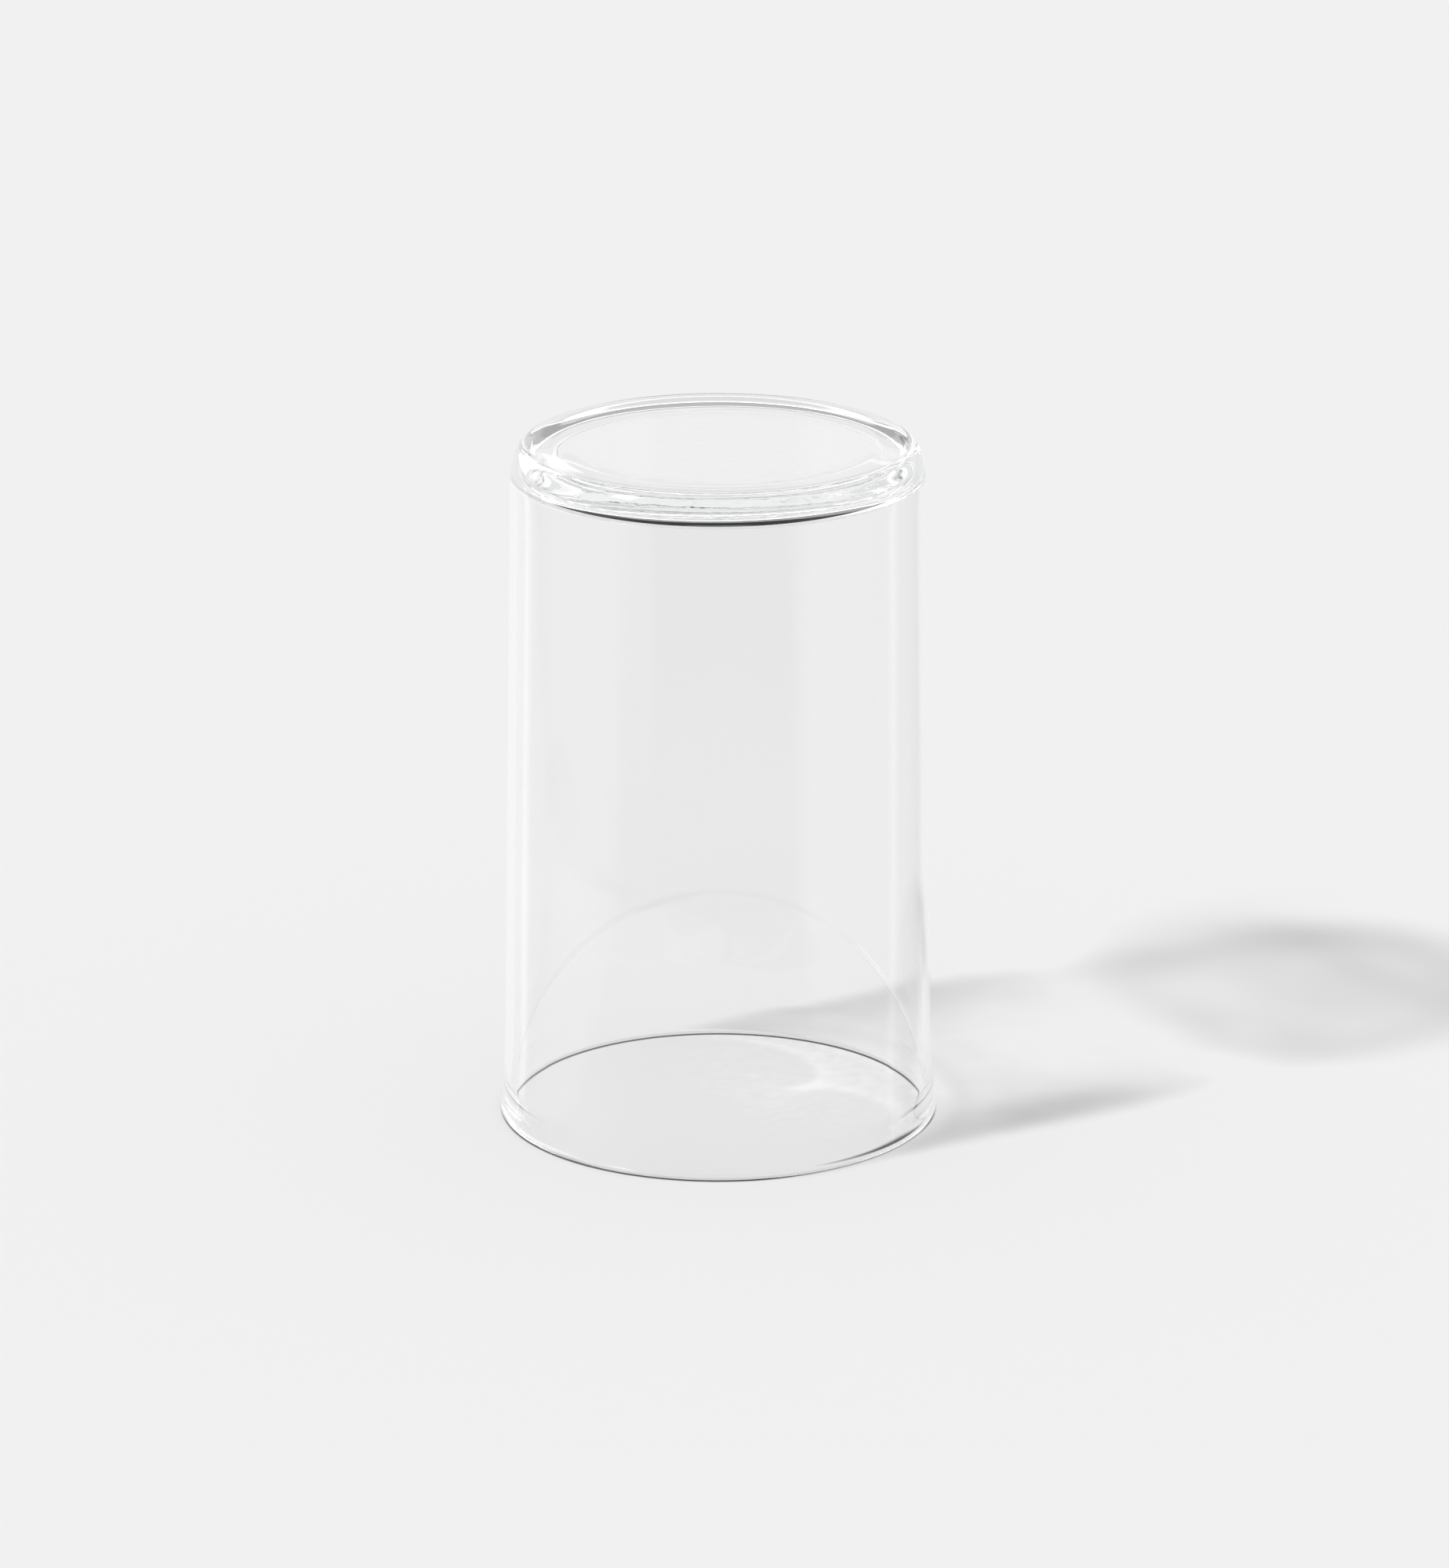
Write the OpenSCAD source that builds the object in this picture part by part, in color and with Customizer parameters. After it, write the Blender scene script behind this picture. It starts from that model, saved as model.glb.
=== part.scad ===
// A straight drinking glass, blown in one piece of clear glass. It stands upside down on its rim,
// as a glass is put to drain: z is measured up from the rim, and the foot is on top.

/* [Overall] */
// Height from the rim to the foot
height = 103.8; // [96:0.5:125]
// Outside diameter over the bead of the rim
rim_d = 66; // [65:0.5:74]

/* [Wall] */
// Outside diameter of the wall where it meets the heel
heel_d = 61.5; // [56:0.5:63]
// Outside diameter of the wall where it starts to flare to the rim
flare_d = 64.2; // [63:0.1:64.6]
// Height above the rim where the flare starts
flare_h = 13; // [8:0.5:30]
// Thickness of the wall
wall_t = 1.2; // [0.8:0.1:1.6]

/* [Rim] */
// Thickness of the fire-polished bead
bead_t = 1.65; // [1.6:0.05:2.4]
// Height over which the wall swells to the bead
swell_h = 6; // [3:0.5:12]
// Width of the flat land under the bead
land_w = 0.4; // [0.2:0.1:0.8]

/* [Base] */
// Thickness of the glass at the middle of the base
base_t = 3.2; // [3:0.1:9]
// Width of the rounded heel, seen from above
heel_w = 2.8; // [2:0.1:6]
// Height of the rounded heel
heel_h = 6; // [3:0.1:8]
// Width of the flat ring that the glass stands on when it is turned the right way up
foot_w = 0.9; // [0.3:0.1:1.5]
// Width of the soft slope from that ring into the hollow of the foot
slope_w = 3.5; // [1:0.1:5]
// Depth of the hollow in the foot
hollow_t = 0.3; // [0.2:0.1:2]
// Width of the rounded corner between the wall and the base, on the inside
corner_w = 8; // [2:0.5:9]
// Height of that corner
corner_h = 1.8; // [1:0.1:6]

/* [Hidden] */
// Sides of a full turn, and straight steps in one curved stretch of the outline
turn_sides = 180;
curve_steps = 16;

// Bead: its round section is cut flat where the glass stands on it
bead_r = bead_t / 2;
land_angle = asin(land_w / bead_t);
bead_z = bead_r * cos(land_angle);
bead_axis_r = rim_d / 2 - bead_r;

// Levels of the heel, the hollow and the inside corner
heel_z = height - heel_h;
hollow_z = height - hollow_t;
floor_z = hollow_z - base_t;
corner_z = floor_z - corner_h;

// Radii of the foot
foot_outer_r = heel_d / 2 - heel_w;
foot_inner_r = foot_outer_r - foot_w;
hollow_r = foot_inner_r - slope_w;

// Eases from 0 to 1 with level ends
function ease(u) = u * u * (3 - 2 * u);

// Points on a quarter or other part of an ellipse
function curve(centre, width, rise, from, to) = [
    for (i = [0:curve_steps])
        let (a = from + (to - from) * i / curve_steps)
            centre + [width * cos(a), rise * sin(a)]
];

// Radius of the wall's outside: a straight taper, and a flare that bends out to the rim
function taper_r(z) = (flare_d + (heel_d - flare_d) * (z - flare_h) / (heel_z - flare_h)) / 2;
flare_out = rim_d / 2 - taper_r(bead_z);
function flare_r(z) = z < flare_h ? flare_out * pow((flare_h - z) / (flare_h - bead_z), 2) : 0;
function outside_r(z) = taper_r(z) + flare_r(z);

// Radius of the wall's inside: the wall swells to the bead near the rim
function swell_share(z) = z < swell_h ? ease((swell_h - z) / (swell_h - bead_z)) : 0;
function inside_r(z) = outside_r(z) - wall_t - (bead_t - wall_t) * swell_share(z);

// Level of the foot's underside between the hollow and the ring it stands on
function foot_level(r) = hollow_z + hollow_t * ease((r - hollow_r) / slope_w);

foot_points = [
    [0, hollow_z],
    for (i = [0:curve_steps])
        let (r = hollow_r + slope_w * i / curve_steps) [r, foot_level(r)],
];
heel_points = curve([foot_outer_r, heel_z], heel_w, heel_h, 90, 0);
flare_points = [
    for (i = [0:curve_steps])
        let (z = flare_h + (bead_z - flare_h) * i / curve_steps) [outside_r(z), z],
];
bead_outer_points = curve([bead_axis_r, bead_z], bead_r, bead_r, 0, land_angle - 90);
bead_inner_points = curve([bead_axis_r, bead_z], bead_r, bead_r, -90 - land_angle, -180);
lip_points = [
    for (i = [1:curve_steps])
        let (z = bead_z + (flare_h - bead_z) * i / curve_steps) [inside_r(z), z],
];
corner_points = curve([inside_r(corner_z) - corner_w, corner_z], corner_w, corner_h, 0, 90);

// The whole glass: one revolved outline, hollow from the rim to the base
module tumbler() {
    color([0.90, 0.93, 0.92, 0.45])
        rotate_extrude($fn = turn_sides)
            polygon(concat(
                foot_points, heel_points, flare_points, bead_outer_points,
                bead_inner_points, lip_points, corner_points, [[0, floor_z]]
            ));
}

tumbler();
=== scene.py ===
import math
import random

import bpy
import numpy as np
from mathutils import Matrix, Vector
from mathutils.bvhtree import BVHTree


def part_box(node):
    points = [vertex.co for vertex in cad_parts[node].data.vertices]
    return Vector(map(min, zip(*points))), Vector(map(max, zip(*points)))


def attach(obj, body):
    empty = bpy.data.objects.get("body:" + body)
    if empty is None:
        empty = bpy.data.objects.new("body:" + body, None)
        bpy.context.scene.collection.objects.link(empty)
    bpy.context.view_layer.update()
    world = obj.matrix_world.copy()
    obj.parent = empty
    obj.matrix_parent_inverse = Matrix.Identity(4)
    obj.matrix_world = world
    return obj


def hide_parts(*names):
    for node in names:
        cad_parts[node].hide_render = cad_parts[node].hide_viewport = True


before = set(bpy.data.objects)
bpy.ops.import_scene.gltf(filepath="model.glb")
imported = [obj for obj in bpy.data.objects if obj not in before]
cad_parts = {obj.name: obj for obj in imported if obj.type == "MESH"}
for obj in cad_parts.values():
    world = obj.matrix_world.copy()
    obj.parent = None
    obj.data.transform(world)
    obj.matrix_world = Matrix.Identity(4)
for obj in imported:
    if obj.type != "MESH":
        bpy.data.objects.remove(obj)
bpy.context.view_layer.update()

# Sizes of the glass in metres, the same as in the part's source
MM = 0.001
LOW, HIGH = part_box("tumbler")
HEIGHT = HIGH[2] - LOW[2]
RIM_R = (HIGH[0] - LOW[0]) / 2
HEEL_R = 30.75 * MM
FLARE_R = 32.1 * MM
FLARE_H = 13 * MM
WALL_T = 1.2 * MM
BEAD_T = 1.65 * MM
SWELL_H = 6 * MM
LAND_W = 0.4 * MM
BASE_T = 3.2 * MM
HEEL_W = 2.8 * MM
HEEL_H = 6 * MM
FOOT_W = 0.9 * MM
SLOPE_W = 3.5 * MM
HOLLOW_T = 0.3 * MM
CORNER_W = 8 * MM
CORNER_H = 1.8 * MM

# A distance that is as good as none
NUDGE = 0.001 * MM

# Fineness of the visible mesh
TURN_STEPS = 288
CURVE_STEPS = 28
WALL_STEPS = 44
FLAT_STEPS = 8


def ease(share):
    """Goes from 0 to 1 with level ends."""
    return share * share * (3 - 2 * share)


def curve(centre, width, rise, start, end):
    """Points on a part of an ellipse, angles in degrees."""
    points = []
    for step in range(CURVE_STEPS + 1):
        angle = math.radians(start + (end - start) * step / CURVE_STEPS)
        points.append((centre[0] + width * math.cos(angle), centre[1] + rise * math.sin(angle)))
    return points


def spread(start, end, steps):
    """Evenly spaced numbers from start to end."""
    return [start + (end - start) * step / steps for step in range(steps + 1)]


# Levels and radii that follow from the sizes
BEAD_R = BEAD_T / 2
LAND_ANGLE = math.asin(LAND_W / BEAD_T)
BEAD_Z = BEAD_R * math.cos(LAND_ANGLE)
BEAD_AXIS_R = RIM_R - BEAD_R
HEEL_Z = HEIGHT - HEEL_H
HOLLOW_Z = HEIGHT - HOLLOW_T
FLOOR_Z = HOLLOW_Z - BASE_T
CORNER_Z = FLOOR_Z - CORNER_H
FOOT_OUTER_R = HEEL_R - HEEL_W
FOOT_INNER_R = FOOT_OUTER_R - FOOT_W
HOLLOW_R = FOOT_INNER_R - SLOPE_W


def taper_r(z):
    """Radius of the straight part of the wall's outside."""
    return FLARE_R + (HEEL_R - FLARE_R) * (z - FLARE_H) / (HEEL_Z - FLARE_H)


def outside_r(z):
    """Radius of the wall's outside: a straight taper, and a flare that bends out to the rim."""
    if z >= FLARE_H:
        return taper_r(z)
    flare = RIM_R - taper_r(BEAD_Z)
    return taper_r(z) + flare * ((FLARE_H - z) / (FLARE_H - BEAD_Z)) ** 2


def inside_r(z):
    """Radius of the wall's inside: the wall swells to the bead near the rim."""
    swell = ease((SWELL_H - z) / (SWELL_H - BEAD_Z)) if z < SWELL_H else 0
    return outside_r(z) - WALL_T - (BEAD_T - WALL_T) * swell


def outline():
    """The glass's section, from the middle of the foot round the rim to the middle of the inside."""
    points = [(r, HOLLOW_Z) for r in spread(0, HOLLOW_R, FLAT_STEPS)[:-1]]
    for r in spread(HOLLOW_R, FOOT_INNER_R, CURVE_STEPS):
        points.append((r, HOLLOW_Z + HOLLOW_T * ease((r - HOLLOW_R) / SLOPE_W)))
    points += curve((FOOT_OUTER_R, HEEL_Z), HEEL_W, HEEL_H, 90, 0)
    points += [(taper_r(z), z) for z in spread(HEEL_Z, FLARE_H, WALL_STEPS)[1:]]
    points += [(outside_r(z), z) for z in spread(FLARE_H, BEAD_Z, WALL_STEPS)[1:]]
    points += curve((BEAD_AXIS_R, BEAD_Z), BEAD_R, BEAD_R, 0, math.degrees(LAND_ANGLE) - 90)[1:]
    points += curve((BEAD_AXIS_R, BEAD_Z), BEAD_R, BEAD_R, -90 - math.degrees(LAND_ANGLE), -180)
    points += [(inside_r(z), z) for z in spread(BEAD_Z, FLARE_H, WALL_STEPS)[1:]]
    points += [(inside_r(z), z) for z in spread(FLARE_H, CORNER_Z, WALL_STEPS)[1:-1]]
    corner_axis_r = inside_r(CORNER_Z) - CORNER_W
    points += curve((corner_axis_r, CORNER_Z), CORNER_W, CORNER_H, 0, 90)
    points += [(r, FLOOR_Z) for r in spread(corner_axis_r, 0, FLAT_STEPS)[1:]]
    return points


def revolve(name, points, turns):
    """A closed mesh of revolution whose outline starts and ends on the axis."""
    rings = points[1:-1]
    vertices = [(0, 0, points[0][1])]
    for r, z in rings:
        for turn in range(turns):
            angle = 2 * math.pi * turn / turns
            vertices.append((r * math.cos(angle), r * math.sin(angle), z))
    vertices.append((0, 0, points[-1][1]))
    last = len(vertices) - 1
    faces = []
    for turn in range(turns):
        after = (turn + 1) % turns
        faces.append((0, 1 + turn, 1 + after))
        for ring in range(len(rings) - 1):
            upper = 1 + ring * turns
            lower = upper + turns
            faces.append((upper + turn, lower + turn, lower + after, upper + after))
        inner = 1 + (len(rings) - 1) * turns
        faces.append((inner + turn, last, inner + after))
    mesh = bpy.data.meshes.new(name)
    mesh.from_pydata(vertices, [], faces)
    mesh.shade_smooth()
    mesh.validate()
    piece = bpy.data.objects.new(name, mesh)
    bpy.context.scene.collection.objects.link(piece)
    return piece


def feed(tree, socket_in, value):
    """Links a value that comes from a node, or sets a plain one."""
    if isinstance(value, bpy.types.NodeSocket):
        tree.links.new(value, socket_in)
    else:
        socket_in.default_value = value


def maths(tree, operation, *values):
    """The result of a Math node whose values are plain or come from nodes."""
    node = tree.nodes.new("ShaderNodeMath")
    node.operation = operation
    for socket_in, value in zip(node.inputs, values):
        feed(tree, socket_in, value)
    return node.outputs[0]


def mixed(tree, share, first, second):
    """first where share is 0, second where it is 1."""
    return maths(tree, "MULTIPLY_ADD", share, maths(tree, "SUBTRACT", second, first), first)


def mixed_shader(tree, share, first, second):
    """The first shader where share is 0, the second where it is 1."""
    node = tree.nodes.new("ShaderNodeMixShader")
    feed(tree, node.inputs["Fac"], share)
    tree.links.new(first, node.inputs[1])
    tree.links.new(second, node.inputs[2])
    return node.outputs[0]


def soft_step(tree, value, start, end):
    """0 before start, 1 after end, with level ends."""
    node = tree.nodes.new("ShaderNodeMapRange")
    node.interpolation_type = "SMOOTHSTEP"
    feed(tree, node.inputs["Value"], value)
    node.inputs["From Min"].default_value = start
    node.inputs["From Max"].default_value = end
    return node.outputs["Result"]


def light_path(tree, name):
    """What Cycles knows about the path that has come to this point."""
    return tree.nodes.new("ShaderNodeLightPath").outputs[name]


def seen_by_eye_or_glass(tree):
    """1 for rays from the camera, from a reflection or through the glass, else 0."""
    glossy = light_path(tree, "Is Glossy Ray")
    through_glass = light_path(tree, "Is Transmission Ray")
    by_glass = maths(tree, "MAXIMUM", glossy, through_glass)
    return maths(tree, "MAXIMUM", light_path(tree, "Is Camera Ray"), by_glass)


GLASS_IOR = 1.52

# The blown surface's ripples: their number in a metre, their height on the wall and in the base, and the
# stretch of wall over which they grow
RIPPLE_SCALE = 420
RIPPLE_WALL = 0.0003 * MM
RIPPLE_BASE = 0.006 * MM
RIPPLE_FADE = 4 * MM

# The glass's faint tint
BODY_COLOUR = (0.86, 0.94, 0.92, 1)
BODY_DENSITY = 1.5

# Light that has met the glass this often is as good as caught in it, and has the studio's mean level
CAUGHT_DEPTH = 26
CAUGHT_LEVEL = 0.8


def glass_material():
    """Clear glass. It casts no shadow: light_on_floor works out what it does to the lamp's light, and that
    is painted on the floor.
    """
    material = bpy.data.materials.new("clear_glass")
    material.use_nodes = True
    tree = material.node_tree
    shader = tree.nodes["Principled BSDF"]
    shader.inputs["Base Color"].default_value = (1, 1, 1, 1)
    shader.inputs["Roughness"].default_value = 0
    shader.inputs["IOR"].default_value = GLASS_IOR
    shader.inputs["Transmission Weight"].default_value = 1
    place = tree.nodes.new("ShaderNodeTexCoord").outputs["Object"]
    parts = tree.nodes.new("ShaderNodeSeparateXYZ")
    tree.links.new(place, parts.inputs[0])
    ripple = tree.nodes.new("ShaderNodeTexNoise")
    tree.links.new(place, ripple.inputs["Vector"])
    ripple.inputs["Scale"].default_value = RIPPLE_SCALE
    ripple.inputs["Detail"].default_value = 2
    in_base = soft_step(tree, parts.outputs["Z"], CORNER_Z - RIPPLE_FADE, CORNER_Z)
    bump = tree.nodes.new("ShaderNodeBump")
    bump.inputs["Strength"].default_value = 1
    bump.inputs["Distance"].default_value = 1
    height = mixed(tree, in_base, RIPPLE_WALL, RIPPLE_BASE)
    tree.links.new(maths(tree, "MULTIPLY", ripple.outputs["Fac"], height), bump.inputs["Height"])
    tree.links.new(bump.outputs[0], shader.inputs["Normal"])
    body = tree.nodes.new("ShaderNodeVolumeAbsorption")
    body.inputs["Color"].default_value = BODY_COLOUR
    body.inputs["Density"].default_value = BODY_DENSITY
    tree.links.new(body.outputs["Volume"], tree.nodes["Material Output"].inputs["Volume"])
    mean = tree.nodes.new("ShaderNodeEmission")
    mean.inputs["Strength"].default_value = CAUGHT_LEVEL
    caught = maths(tree, "GREATER_THAN", light_path(tree, "Ray Depth"), CAUGHT_DEPTH)
    seen = mixed_shader(tree, caught, shader.outputs[0], mean.outputs[0])
    clear = tree.nodes.new("ShaderNodeBsdfTransparent")
    surface = mixed_shader(tree, light_path(tree, "Is Shadow Ray"), seen, clear.outputs[0])
    tree.links.new(surface, tree.nodes["Material Output"].inputs["Surface"])
    return material


# The inside of the base sits a little right of the axis; the shift fades from this radius to the wall
CORNER_SHIFT = 0.6 * MM
SHIFT_FADE_R = 25 * MM


def shift_inside_corner(piece):
    """Moves the inside of the base sideways, and the corner round it less and less up to the wall."""
    wall_r = inside_r(CORNER_Z)
    for vertex in piece.data.vertices:
        radius = math.hypot(vertex.co.x, vertex.co.y)
        if CORNER_Z < vertex.co.z < FLOOR_Z + NUDGE and radius < wall_r:
            outward = max(0, (radius - SHIFT_FADE_R) / (wall_r - SHIFT_FADE_R))
            vertex.co.x += CORNER_SHIFT * (1 - ease(outward))


def make_glass():
    """The visible glass, in place of the CAD node."""
    piece = revolve("blown_glass", outline(), TURN_STEPS)
    shift_inside_corner(piece)
    piece.data.materials.append(glass_material())
    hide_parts("tumbler")
    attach(piece, "root")
    return piece


# The photograph's background, sRGB 241 as a linear value
BACKGROUND = 0.877

# The studio, as what is reflected in the glass or led round inside it sees it: cards and gaps, each with
# its azimuth, half width, lowest and highest elevation and softness in degrees, and its brightness.
# Azimuth 0 is the glass's right, 90 is behind it and 270 is the camera's side. A later one covers an
# earlier one.
ROOM = 0.6
STUDIO = (
    ("floor behind", 115, 55, -90, 3, 8, 0.88),
    ("pale floor strip behind on the left", 118, 15, -90, 3, 5, 0.94),
    ("upper room behind", 90, 80, 26, 85, 3, 0.45),
    ("backdrop", 90, 80, 3, 16, 2, 1.15),
    ("shade on the backdrop", 90, 80, 16.6, 20.5, 0.8, 0.7),
    ("bright top of the backdrop", 90, 80, 21, 25, 1, 2.3),
    ("left side", 178, 26, -90, 70, 10, 0.75),
    ("left card", 150, 30, 10, 60, 6, 4),
    ("low lamp on the left", 128, 14, 1.2, 7, 0.8, 4),
    ("left strip", 139, 1.5, -90, 40, 2.5, 1.3),
    ("right strip", 24, 1.5, -90, 6, 3, 1.0),
    ("right card", 32, 12, 8, 48, 4, 0.9),
    ("camera side", 265, 38, -90, 65, 14, 0.2),
    ("gap over the backdrop", 106, 62, 41, 65, 2, 0.01),
    ("lower end of the gap", 107, 7, 28, 43, 3, 0.01),
    ("key", 207, 6, 36, 50, 2, 12),
)

# These are seen only in the first wall that a path meets, which the path leaves by its second refraction
FIRST_WALL_ONLY = ("pale floor strip behind on the left", "left strip", "right strip")
FIRST_WALL_DEPTH = 2.5


def card(tree, across, up, azimuth, half_width, low, high, softness):
    """The share of a card in a direction, given by its level part and the sine of its elevation."""
    turned = tree.nodes.new("ShaderNodeVectorMath")
    turned.operation = "DOT_PRODUCT"
    tree.links.new(across, turned.inputs[0])
    middle = math.radians(azimuth)
    turned.inputs[1].default_value = (math.cos(middle), math.sin(middle), 0)
    edge = math.cos(math.radians(half_width))
    outer_edge = math.cos(math.radians(half_width + softness))
    share = soft_step(tree, turned.outputs["Value"], outer_edge, edge)
    if low > -90:
        above = soft_step(tree, up, math.sin(math.radians(low - softness)), math.sin(math.radians(low)))
        share = maths(tree, "MULTIPLY", share, above)
    below = soft_step(tree, up, math.sin(math.radians(high + softness)), math.sin(math.radians(high)))
    return maths(tree, "MULTIPLY", share, below)


def studio(tree, direction):
    """How bright the studio is in a direction: its cards for rays that glass has reflected, else plain."""
    flat = tree.nodes.new("ShaderNodeVectorMath")
    flat.operation = "MULTIPLY"
    tree.links.new(direction, flat.inputs[0])
    flat.inputs[1].default_value = (1, 1, 0)
    across = tree.nodes.new("ShaderNodeVectorMath")
    across.operation = "NORMALIZE"
    tree.links.new(flat.outputs[0], across.inputs[0])
    parts = tree.nodes.new("ShaderNodeSeparateXYZ")
    tree.links.new(direction, parts.inputs[0])
    first_wall = maths(tree, "LESS_THAN", light_path(tree, "Transmission Depth"), FIRST_WALL_DEPTH)
    level = ROOM
    for name, *place, brightness in STUDIO:
        share = card(tree, across.outputs[0], parts.outputs["Z"], *place)
        if name in FIRST_WALL_ONLY:
            share = maths(tree, "MULTIPLY", share, first_wall)
        level = mixed(tree, share, level, brightness)
    reflected = maths(tree, "GREATER_THAN", light_path(tree, "Glossy Depth"), 0.5)
    return mixed(tree, reflected, BACKGROUND, level)


# The key light: a small bright window, from the left and a little from the front
KEY_AZIMUTH = math.radians(180 + 30)
KEY_RISE = math.radians(43)
KEY_WIDTH = math.radians(4.4)
KEY_TOWARDS = Vector((
    math.cos(KEY_AZIMUTH) * math.cos(KEY_RISE),
    math.sin(KEY_AZIMUTH) * math.cos(KEY_RISE),
    math.sin(KEY_RISE),
))

# The stretch of floor on which the light through the glass is worked out, its cells and the rays' spacing,
# the blur in cells inside the rim, near the glass and far from it, and how often a ray may meet the glass
LIT_LOW = (-150 * MM, -130 * MM)
LIT_HIGH = (290 * MM, 190 * MM)
CELL = 1 * MM
RAY_STEP = 0.19 * MM
INSIDE_BLUR = 0.5
NEAR_BLUR = 1.5
FAR_BLUR = 2.8
MOST_TURNS = 60

# Glass below this height touches the floor, and light that enters the floor there has arrived
ON_FLOOR = 0.02 * MM


def bend(direction, normal, inside, dice):
    """A ray's direction after it has met glass, reflected or refracted by chance; True if it is inside."""
    slant = -direction.dot(normal)
    if slant < 0:
        normal = -normal
        slant = -slant
    before, after = (GLASS_IOR, 1) if inside else (1, GLASS_IOR)
    ratio = before / after
    squared = 1 - ratio * ratio * (1 - slant * slant)
    if squared > 0:
        deep = math.sqrt(squared)
        across = (before * slant - after * deep) / (before * slant + after * deep)
        along = (after * slant - before * deep) / (after * slant + before * deep)
        if dice.random() >= (across * across + along * along) / 2:
            return (direction * ratio + normal * (ratio * slant - deep)).normalized(), not inside
    return (direction + normal * (2 * slant)).normalized(), inside


def landing(tree, start, direction, dice):
    """Where a ray comes down on the floor after the glass has bent it, or None. A ring's faces share one
    slope, and the normal is turned to the point that is hit, as on a true body of revolution."""
    inside = False
    for turn in range(MOST_TURNS):
        hit, face_normal, face, distance = tree.ray_cast(start, direction)
        if not inside and direction.z < 0:
            reach = start.z / -direction.z
            if hit is None or reach < distance:
                return start + direction * reach
        if hit is None:
            return None
        radius = math.hypot(hit.x, hit.y)
        outward = face_normal.x * hit.x + face_normal.y * hit.y
        flat = math.copysign(math.sqrt(max(0, 1 - face_normal.z ** 2)), outward)
        normal = Vector((flat * hit.x / radius, flat * hit.y / radius, face_normal.z))
        direction, inside = bend(direction, normal, inside, dice)
        if inside and hit.z < ON_FLOOR and direction.z < 0:
            return hit
        start = hit + direction * NUDGE
    return None


def blurred(grid, width):
    """Gaussian blur of a grid, width in cells; the grid is 1 all round."""
    reach = int(3 * width) + 1
    weights = np.exp(-0.5 * (np.arange(-reach, reach + 1) / width) ** 2)
    weights /= weights.sum()
    grid = np.pad(grid, reach, constant_values=1)
    for axis in (0, 1):
        grid = np.apply_along_axis(np.convolve, axis, grid, weights, "valid")
    return grid


def light_on_floor(piece):
    """How much of the key light reaches each cell of the floor, 1 where the glass does nothing to it."""
    corners = [vertex.co.copy() for vertex in piece.data.vertices]
    tree = BVHTree.FromPolygons(corners, [list(face.vertices) for face in piece.data.polygons])
    dice = random.Random(5)
    columns = round((LIT_HIGH[0] - LIT_LOW[0]) / CELL)
    rows = round((LIT_HIGH[1] - LIT_LOW[1]) / CELL)
    change = np.zeros((rows, columns))

    def count(place, amount):
        column = int((place.x - LIT_LOW[0]) / CELL)
        row = int((place.y - LIT_LOW[1]) / CELL)
        if 0 <= column < columns and 0 <= row < rows:
            change[row, column] += amount

    # The rays are aimed at unbent landing points that cover the glass's whole shadow
    away = Vector((-KEY_TOWARDS.x, -KEY_TOWARDS.y, 0)).normalized()
    sideways = Vector((-away.y, away.x, 0))
    lift = sideways.cross(KEY_TOWARDS)
    margin = RIM_R * 1.3
    length = HEIGHT / math.tan(KEY_RISE) + 2 * margin
    share = (RAY_STEP / CELL) ** 2
    for step in range(int(length / RAY_STEP)):
        for lane in range(int(2 * margin / RAY_STEP)):
            along = (step + dice.random()) * RAY_STEP - margin
            beside = (lane + dice.random()) * RAY_STEP - margin
            aim = away * along + sideways * beside
            turn = 2 * math.pi * dice.random()
            wide = math.tan(KEY_WIDTH / 2) * math.sqrt(dice.random())
            towards = KEY_TOWARDS + sideways * (wide * math.cos(turn)) + lift * (wide * math.sin(turn))
            start = aim + towards * (2 * HEIGHT / towards.z)
            direction = -towards.normalized()
            if tree.ray_cast(start, direction)[0] is None:
                continue
            count(aim, -share)
            place = landing(tree, start, direction, dice)
            if place is not None:
                count(place, share)
    return 1 + change


# The key's share of the floor's light; how much of a bright curve's excess is kept, and the most and the
# least of the key's light inside the rim
KEY_SHARE = 0.35
CAUSTIC_SHARE = 0.5
CAUSTIC_LIMIT = 1.5
PLAIN_INSIDE = 0.97

# Where the far blur sets in and the bright curves inside the rim start, in mm along the shadow from the
# glass's axis, and the lengths over which they do
FAR_START = 45
FAR_LENGTH = 45
CURVES_START = -2
CURVES_LENGTH = 8

# What is added to the key's light inside the rim at the left, how far from the axis it sets in, and the
# length over which it does
LEFT_LIFT = 0.13
LEFT_START = 8 * MM
LEFT_LENGTH = 15 * MM

# Soft painted changes to the key's light on the floor that the photograph shows, in mm: how far along the
# shadow from the glass's axis and how far to its left, the half sizes the same two ways, and the amount
TOUCHES = (
    ("lower edge by the rim", 40, -25, 13, 3.5, -0.42),
    ("soft fringe below it", 44, -31, 16, 4, -0.25),
    ("lower edge further off", 77, -26, 12, 5, 0.25),
    ("open middle", 58, -4, 12, 13, 0.12),
    ("near side of the base's ring", 77, -2, 5, 20, 0.42),
    ("inside the base's ring", 110, -2, 11, 14, -0.28),
    ("near end of the ring", 87, 12, 6, 11, 0.33),
    ("near end of the ring's lower edge", 87, -14, 4, 5, 0.3),
    ("outside of its upper edge", 101, 28, 8, 4, 0.3),
    ("inside of its upper edge", 113, 18, 8, 5, -0.2),
    ("upper edge nearer the glass", 80, 29, 8, 4, 0.2),
    ("upper edge by the glass", 48, 26, 13, 7, -0.2),
    ("soft fringe above the ring", 108, 34, 14, 6, -0.2),
    ("lower edge of the ring", 99, -25, 14, 6, 0.26),
    ("far side of the ring", 120, 2, 4, 15, -0.26),
)


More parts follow.
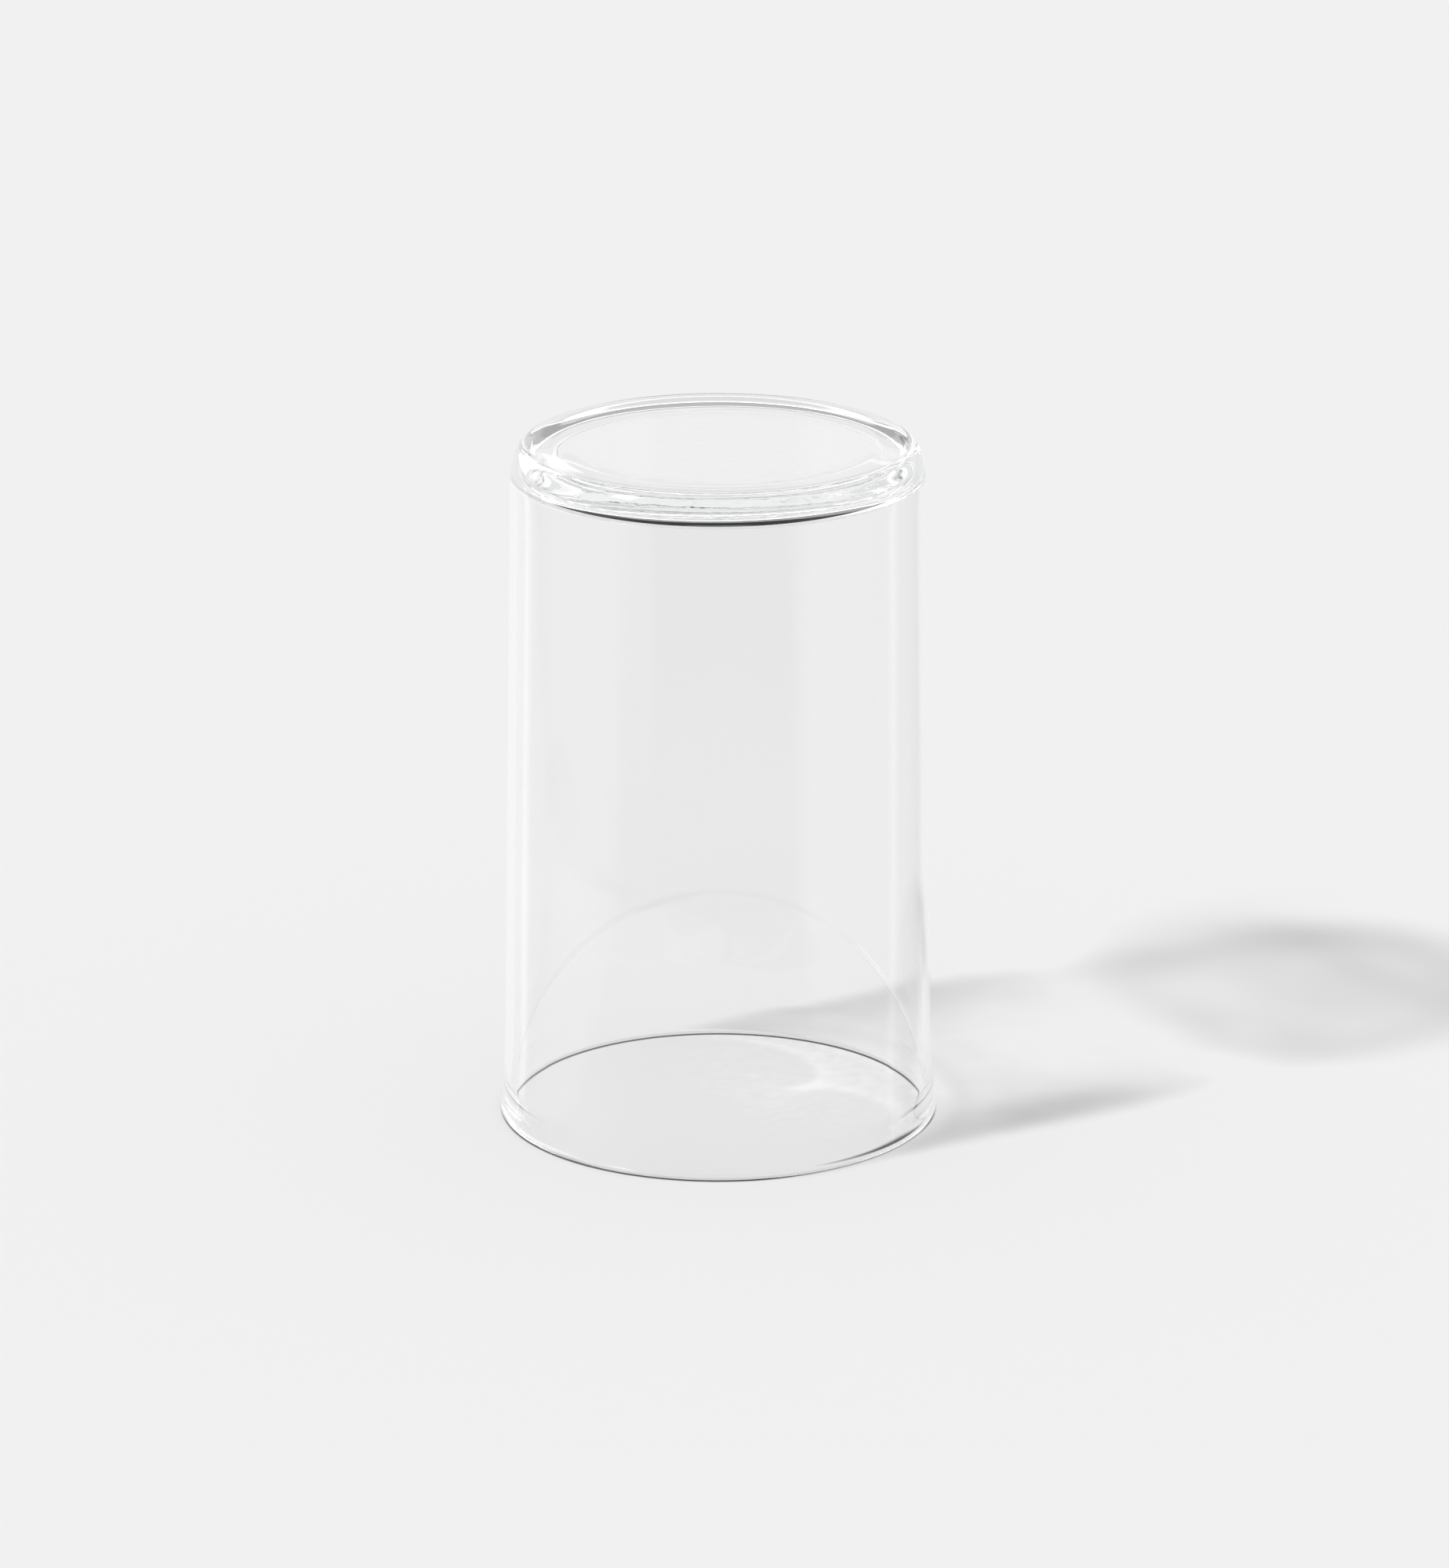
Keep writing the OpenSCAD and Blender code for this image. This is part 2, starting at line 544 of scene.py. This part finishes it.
def painted_shadow_and_caustics(piece):
    """The floor's painted shadow and caustic light: its brightness in each cell, 1 where it is plain."""
    traced = light_on_floor(piece)
    rows, columns = traced.shape

    # Each cell's place on the floor, and in mm along the shadow and to its left
    row, column = np.mgrid[0:rows, 0:columns]
    x = (column + 0.5) * CELL + LIT_LOW[0]
    y = (row + 0.5) * CELL + LIT_LOW[1]
    along = -(x * math.cos(KEY_AZIMUTH) + y * math.sin(KEY_AZIMUTH)) / MM
    left = (x * math.sin(KEY_AZIMUTH) - y * math.cos(KEY_AZIMUTH)) / MM
    far = ease(np.clip((along - FAR_START) / FAR_LENGTH, 0, 1))
    within = np.clip((RIM_R - np.hypot(x, y)) / CELL, 0, 1)
    curves = blurred(traced, INSIDE_BLUR)
    curves = np.minimum(curves, 1 + (curves - 1) * CAUSTIC_SHARE)
    near = within * curves + (1 - within) * blurred(traced, NEAR_BLUR)
    level = (1 - far) * near + far * blurred(traced, FAR_BLUR)
    for name, middle, side, length, width, amount in TOUCHES:
        spot = np.exp(-((along - middle) / length) ** 2 / 2 - ((left - side) / width) ** 2 / 2)
        level = level + amount * spot * (1 - within)
    reached = ease(np.clip((along - CURVES_START) / CURVES_LENGTH, 0, 1))
    inside = PLAIN_INSIDE + (np.clip(level, PLAIN_INSIDE, CAUSTIC_LIMIT) - PLAIN_INSIDE) * reached
    inside = inside + LEFT_LIFT * ease(np.clip((-x - LEFT_START) / LEFT_LENGTH, 0, 1))
    level = within * inside + (1 - within) * np.minimum(level, 1)
    return 1 - KEY_SHARE + KEY_SHARE * level


# The painted contact shadow, a dark line on the floor where the rim meets it: its half width, the share of
# it that is fully dark, its depth, and how much deeper it is on the right. Towards the shady side it moves
# inward and widens.
CONTACT_W = 0.95 * MM
CONTACT_CORE = 0.45
CONTACT_DARK = 0.9
CONTACT_LEAN = 0.08
CONTACT_INWARD = 1.05 * MM
CONTACT_WIDER = 0.9 * MM
SHADY_AZIMUTH = math.radians(-45)
SHADY_WIDTH = math.radians(35)

# The floor's colour, the share of it that glows, the least brightness of its painted reflection glow near
# the glass, which only reflected rays see, and the radii between which that ends
FLOOR_COLOUR = 0.86
GLOW_SHARE = 0.75
NEAR_FLOOR = 0.5
NEAR_R = 60 * MM
FAR_R = 240 * MM

# The wall sees the floor from its own place, in shares of its radius: how far in front of the axis the
# reflections start, and how much further they do on the right
WALL_FRONT = 0.5
WALL_LEAN = 0.17


def painted_contact_shadow(tree, radius, side, front):
    """The painted contact shadow: the floor's brightness under the rim, 1 away from it."""
    turned = maths(tree, "MULTIPLY_ADD", front, math.sin(SHADY_AZIMUTH),
                   maths(tree, "MULTIPLY", side, math.cos(SHADY_AZIMUTH)))
    shady = soft_step(tree, turned, math.cos(SHADY_WIDTH), 1)
    ring_r = maths(tree, "MULTIPLY_ADD", shady, -CONTACT_INWARD, BEAD_AXIS_R)
    ring_w = maths(tree, "MULTIPLY_ADD", shady, CONTACT_WIDER, CONTACT_W)
    off_ring = maths(tree, "ABSOLUTE", maths(tree, "SUBTRACT", radius, ring_r))
    open_share = soft_step(tree, maths(tree, "DIVIDE", off_ring, ring_w), CONTACT_CORE, 1)
    depth = maths(tree, "MULTIPLY_ADD", side, CONTACT_LEAN, CONTACT_DARK)
    return mixed(tree, open_share, maths(tree, "SUBTRACT", 1, depth), 1)


def floor_material():
    """Matt and partly glowing. The glow shows the studio's cards to light that the wall has reflected, a
    painted reflection. The painted shadow and caustic light and the painted contact shadow scale both the
    matt colour and the glow.
    """
    material = bpy.data.materials.new("floor")
    material.use_nodes = True
    tree = material.node_tree
    tree.nodes.clear()
    out = tree.nodes.new("ShaderNodeOutputMaterial")
    place = tree.nodes.new("ShaderNodeTexCoord").outputs["Object"]
    parts = tree.nodes.new("ShaderNodeSeparateXYZ")
    tree.links.new(place, parts.inputs[0])
    squares = [maths(tree, "POWER", parts.outputs[axis], 2) for axis in ("X", "Y")]
    radius = maths(tree, "SQRT", maths(tree, "ADD", *squares))
    side = maths(tree, "DIVIDE", parts.outputs["X"], radius)
    front = maths(tree, "DIVIDE", parts.outputs["Y"], radius)
    # The key's painted shadow and caustic light, stored on the floor's vertices, times the painted contact
    # shadow
    stored = tree.nodes.new("ShaderNodeAttribute")
    stored.attribute_name = "light"
    light = maths(tree, "MULTIPLY", stored.outputs["Fac"], painted_contact_shadow(tree, radius, side, front))
    matt = tree.nodes.new("ShaderNodeBsdfDiffuse")
    tree.links.new(maths(tree, "MULTIPLY", light, FLOOR_COLOUR), matt.inputs["Color"])

    from_wall = tree.nodes.new("ShaderNodeCombineXYZ")
    beyond = maths(tree, "MULTIPLY", side, maths(tree, "SUBTRACT", radius, FLARE_R))
    tree.links.new(beyond, from_wall.inputs["X"])
    nearer = maths(tree, "MULTIPLY_ADD", side, WALL_LEAN * FLARE_R, WALL_FRONT * FLARE_R)
    tree.links.new(maths(tree, "ADD", parts.outputs["Y"], nearer), from_wall.inputs["Y"])
    near = maths(tree, "SUBTRACT", 1, soft_step(tree, radius, NEAR_R, FAR_R))
    least = maths(tree, "MULTIPLY", near, NEAR_FLOOR)
    level = maths(tree, "MAXIMUM", studio(tree, from_wall.outputs[0]), least)
    glow = tree.nodes.new("ShaderNodeEmission")
    lit = maths(tree, "MULTIPLY", level, light)
    feed(tree, glow.inputs["Strength"], maths(tree, "MULTIPLY", lit, seen_by_eye_or_glass(tree)))
    surface = mixed_shader(tree, GLOW_SHARE, matt.outputs[0], glow.outputs[0])
    tree.links.new(surface, out.inputs["Surface"])
    return material


def floor_piece(name, level, low, high, depth, material):
    """A flat grid of vertices between two corners that carries the floor's brightness."""
    rows, columns = level.shape
    vertices = []
    for row in range(rows):
        for column in range(columns):
            x = low[0] + (high[0] - low[0]) * column / (columns - 1)
            y = low[1] + (high[1] - low[1]) * row / (rows - 1)
            vertices.append((x, y, -depth))
    faces = []
    for row in range(rows - 1):
        for column in range(columns - 1):
            first = row * columns + column
            faces.append((first, first + 1, first + columns + 1, first + columns))
    mesh = bpy.data.meshes.new(name)
    mesh.from_pydata(vertices, [], faces)
    light = mesh.attributes.new("light", "FLOAT", "POINT")
    light.data.foreach_set("value", level.ravel().astype(np.float32))
    mesh.materials.append(material)
    piece = bpy.data.objects.new(name, mesh)
    bpy.context.scene.collection.objects.link(piece)
    return piece


# The plain floor's half size, and how far below the rim the two floors lie
FLOOR_REACH = 6
FLOOR_DEPTH = 0.06 * MM
LIT_FLOOR_DEPTH = 0.05 * MM


def make_floor(glass):
    """A wide plain floor, and just above it the stretch that holds the painted shadow and caustic light.
    """
    material = floor_material()
    plain = np.ones((2, 2))
    floor_piece("floor", plain, [-FLOOR_REACH] * 2, [FLOOR_REACH] * 2, FLOOR_DEPTH, material)
    low = [edge + CELL / 2 for edge in LIT_LOW]
    high = [edge - CELL / 2 for edge in LIT_HIGH]
    floor_piece("floor_with_painted_shadow", painted_shadow_and_caustics(glass), low, high, LIT_FLOOR_DEPTH, material)


# The world's light on matt surfaces, and the lamp's
AMBIENT = 0.92
KEY_ENERGY = 1.35


def make_world():
    """Even light on all that is matt, and the studio for the eye and the glass."""
    world = bpy.data.worlds.new("studio")
    bpy.context.scene.world = world
    world.use_nodes = True
    tree = world.node_tree
    tree.nodes.clear()
    out = tree.nodes.new("ShaderNodeOutputWorld")
    sky = tree.nodes.new("ShaderNodeBackground")
    direction = tree.nodes.new("ShaderNodeTexCoord").outputs["Generated"]
    strength = mixed(tree, seen_by_eye_or_glass(tree), AMBIENT, studio(tree, direction))
    feed(tree, sky.inputs["Strength"], strength)
    tree.links.new(sky.outputs[0], out.inputs["Surface"])


def make_lamp():
    """The key light. The glass doesn't mirror or bend it, and shows the studio's key card instead."""
    data = bpy.data.lights.new("key", "SUN")
    data.energy = KEY_ENERGY
    data.angle = KEY_WIDTH
    lamp = bpy.data.objects.new("key", data)
    bpy.context.scene.collection.objects.link(lamp)
    lamp.rotation_euler = KEY_TOWARDS.to_track_quat("Z", "Y").to_euler()
    lamp.visible_glossy = False
    lamp.visible_transmission = False


# The camera's place, its tilt down, and its focal length and the photograph's height in pixels
CAMERA_PLACE = (0.95 * MM, -1.0063, 0.3734)
CAMERA_PITCH = math.radians(17.77)
FOCAL_PX = 9025
PHOTO_HEIGHT_PX = 2000


def make_camera():
    """The photograph's view: from the front and above."""
    data = bpy.data.cameras.new("camera")
    camera = bpy.data.objects.new("camera", data)
    bpy.context.scene.collection.objects.link(camera)
    data.sensor_fit = "VERTICAL"
    data.sensor_height = 36
    data.lens = FOCAL_PX * data.sensor_height / PHOTO_HEIGHT_PX
    data.clip_start = 0.05
    data.clip_end = 50
    camera.location = CAMERA_PLACE
    camera.rotation_euler = (math.pi / 2 - CAMERA_PITCH, 0, 0)
    bpy.context.scene.camera = camera


glass = make_glass()
make_floor(glass)
make_world()
make_lamp()
make_camera()

bpy.context.scene.view_settings.view_transform = "Standard"

# Paths are followed a little further than the depth from which they count as caught in the glass
LONGEST_PATH = CAUGHT_DEPTH + 4
bpy.context.scene.cycles.max_bounces = LONGEST_PATH
bpy.context.scene.cycles.glossy_bounces = LONGEST_PATH
bpy.context.scene.cycles.transmission_bounces = LONGEST_PATH
